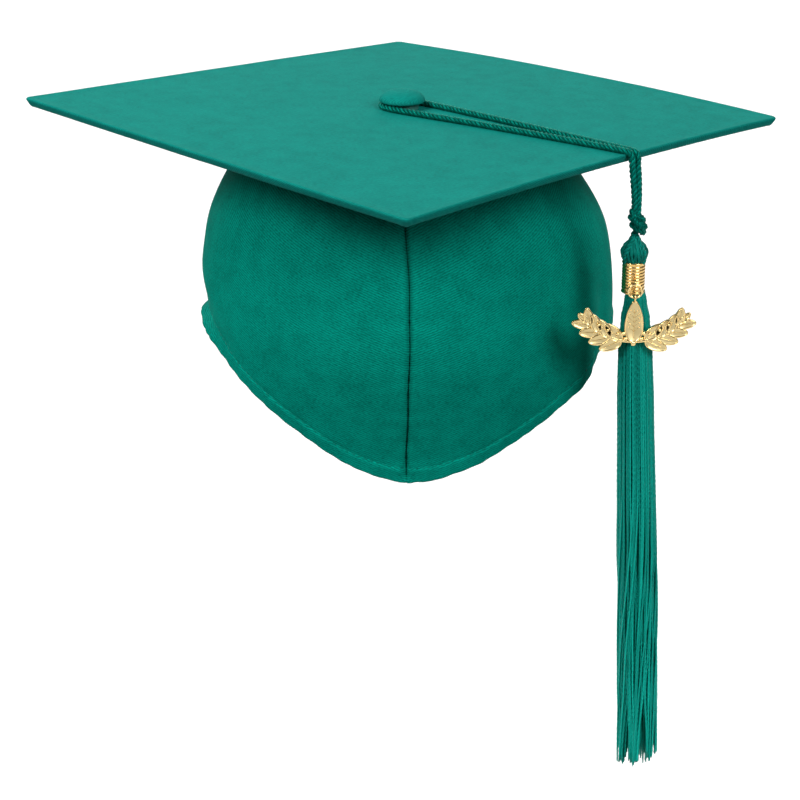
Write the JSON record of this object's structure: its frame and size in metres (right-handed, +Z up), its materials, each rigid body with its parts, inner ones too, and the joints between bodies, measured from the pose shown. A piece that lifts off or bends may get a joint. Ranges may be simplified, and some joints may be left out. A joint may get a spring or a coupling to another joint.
{
  "type": "graduation cap",
  "caption": "Mortarboard graduation cap: square cloth-covered board on a soft skull cap, with a covered button and a hanging tassel with a metal charm.",
  "frame": {"origin": "middle of the board's underside, inside the top of the crown, where the wearer's head stops", "axes": "+Z up out of the board, the wearer's front and a corner of the board towards -Y, the wearer's left towards +X"},
  "size_m": [0.3374, 0.3374, 0.2996],
  "materials": {
    "board_cloth": "matt woven polyester, emerald green",
    "crown_cloth": "matt polyester twill, emerald green",
    "interlining": "stiffened backing cloth, green",
    "chipboard": "plain grey-brown board",
    "button_metal": "pressed, satin",
    "button_core": "moulded, matt",
    "elastic": "white knitted elastic",
    "cord_thread": "twisted rayon cord, soft shine",
    "skirt_thread": "rayon thread, silky shine",
    "gold": "gold plated, polished edges and sandblasted face"
  },
  "bodies": {
    "cap": {"board_top_cover": "board_cloth", "board_stiffener": "chipboard", "board_bottom_cover": "board_cloth", "button_cover": "board_cloth", "button_shell": "button_metal", "button_core": "button_core", "button_rivet": "button_metal", "button_washer": "button_metal", "crown_left_panel": "crown_cloth", "crown_right_panel": "crown_cloth", "crown_back_panel": "crown_cloth", "left_interlining": "interlining", "right_interlining": "interlining", "left_hem": "crown_cloth", "right_hem": "crown_cloth", "front_seam_tape": "interlining", "back_elastic": "elastic", "elastic_casing": "crown_cloth", "crown_top_allowance": "crown_cloth"},
    "cord_loop": {"tassel_loop_cord": "cord_thread"},
    "cord_drop": {"tassel_drop_cords": "cord_thread", "tassel_knot": "cord_thread"},
    "neck": {"tassel_neck": "cord_thread"},
    "tassel": {"tassel_head": "skirt_thread", "tassel_barrel": "gold"},
    "skirt": {"tassel_skirt": "skirt_thread"},
    "ring": {"jump_ring": "gold"},
    "charm": {"charm": "gold"}
  },
  "joints": [
    {"name": "tassel_turn", "type": "hinge", "parent": "cap", "child": "cord_loop", "pos_m": [0, 0, 0.0051], "axis": [0, 0, 1], "range_deg": [-15, 2]},
    {"name": "tassel_swing", "type": "hinge", "parent": "cord_loop", "child": "cord_drop", "pos_m": [0.09825, -0.0776, -0.001], "axis": [-0.6198, -0.7848, 0], "range_deg": [-3, 80]},
    {"name": "tassel_sway", "type": "hinge", "parent": "cord_drop", "child": "neck", "pos_m": [0.09825, -0.0776, -0.035], "axis": [0.7848, -0.6198, 0], "range_deg": [-20, 20]},
    {"name": "tassel_twist", "type": "hinge", "parent": "neck", "child": "tassel", "pos_m": [0.09825, -0.0776, -0.035], "axis": [0, 0, 1], "range_deg": [-25, 120]},
    {"name": "skirt_sway", "type": "hinge", "parent": "tassel", "child": "skirt", "pos_m": [0.09825, -0.0776, -0.06], "axis": [0, 1, 0], "range_deg": [-20, 20]},
    {"name": "ring_swing", "type": "hinge", "parent": "tassel", "child": "ring", "pos_m": [0.09825, -0.0864, -0.052], "axis": [-1, 0, 0], "range_deg": [0, 70]},
    {"name": "charm_swing", "type": "hinge", "parent": "ring", "child": "charm", "pos_m": [0.09825, -0.0864, -0.0578], "axis": [-1, 0, 0], "range_deg": [0, 70]}
  ]
}
